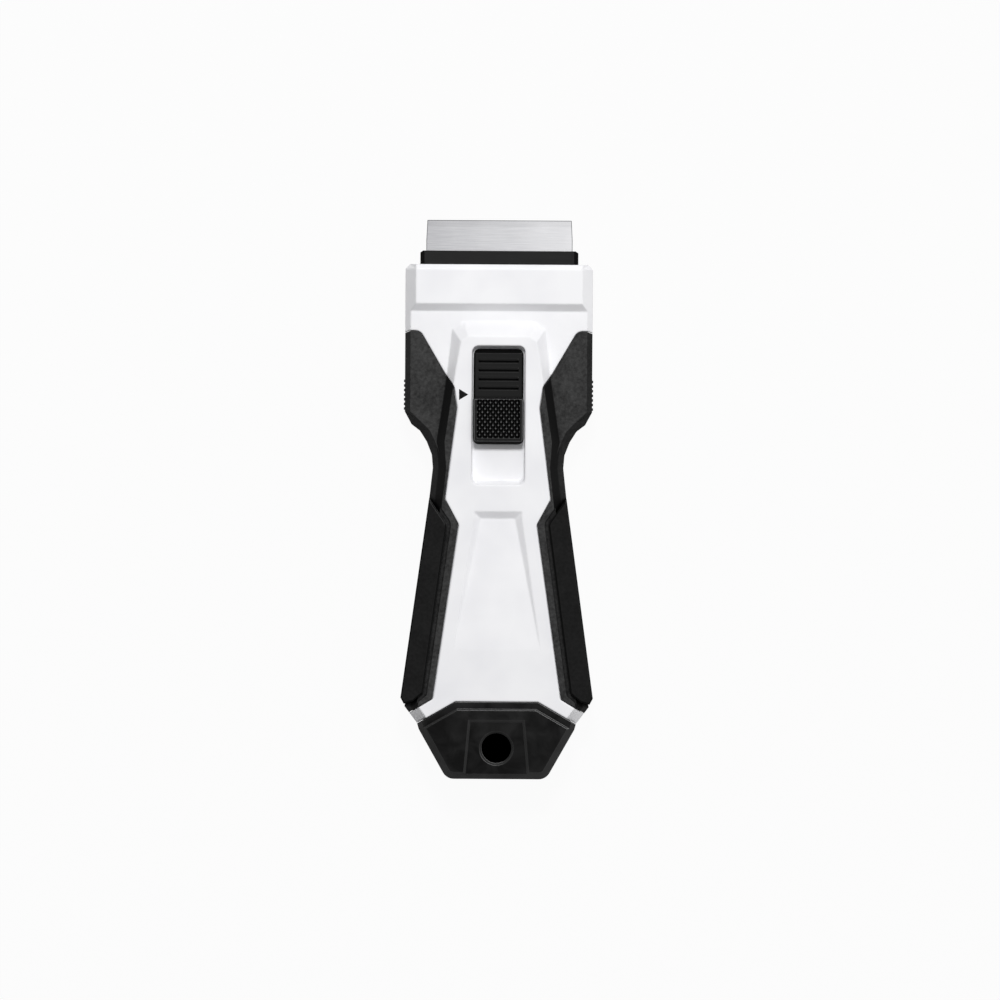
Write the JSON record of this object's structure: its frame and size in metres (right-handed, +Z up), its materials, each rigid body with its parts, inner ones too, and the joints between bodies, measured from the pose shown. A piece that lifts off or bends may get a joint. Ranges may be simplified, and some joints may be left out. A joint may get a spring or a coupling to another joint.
{
  "type": "scraper",
  "caption": "Flat hand scraper with a two-part white body, black soft grips, a capped tail with a hanging hole, and a steel blade that a latched thumb button slides in and out.",
  "frame": {"origin": "under the middle of the tool, on the plane it lies on", "axes": "+Y from the capped tail to the blade, +X to the right seen from above with the blade away, +Z up from the flat back through the thumb button"},
  "size_m": [0.05, 0.1456, 0.0189],
  "materials": {
    "white_abs": "satin",
    "black_rubber": "matte",
    "black_nylon": "satin",
    "blade_steel": "brushed",
    "zinc_steel": "zinc plated",
    "spring_steel": "cold rolled"
  },
  "bodies": {
    "housing": {"front_shell": "white_abs", "rear_shell": "white_abs", "front_grip_left": "black_rubber", "front_grip_right": "black_rubber", "rear_grip_left": "black_rubber", "rear_grip_right": "black_rubber", "end_cap": "black_nylon", "mouth_guide": "black_nylon", "wing_screw_left": "zinc_steel", "wing_screw_right": "zinc_steel", "handle_screw_front": "zinc_steel", "handle_screw_rear": "zinc_steel"},
    "carriage": {"blade_carrier": "black_nylon", "blade": "blade_steel", "blade_spine": "blade_steel", "blade_clamp": "spring_steel", "clamp_screw_left": "zinc_steel", "clamp_screw_right": "zinc_steel", "latch_spring": "spring_steel", "spring_rivet": "zinc_steel"},
    "button": {"slider_button": "black_nylon"}
  },
  "joints": [
    {"name": "blade_slide", "type": "slide", "parent": "housing", "child": "carriage", "axis": [0, -1, 0], "range_m": [0, 0.0092]},
    {"name": "button_press", "type": "slide", "parent": "carriage", "child": "button", "axis": [0, 0, -1], "range_m": [0, 0.001], "stiffness_N_per_m": 500, "springref_m": -0.002, "deforming": ["latch_spring"]}
  ]
}
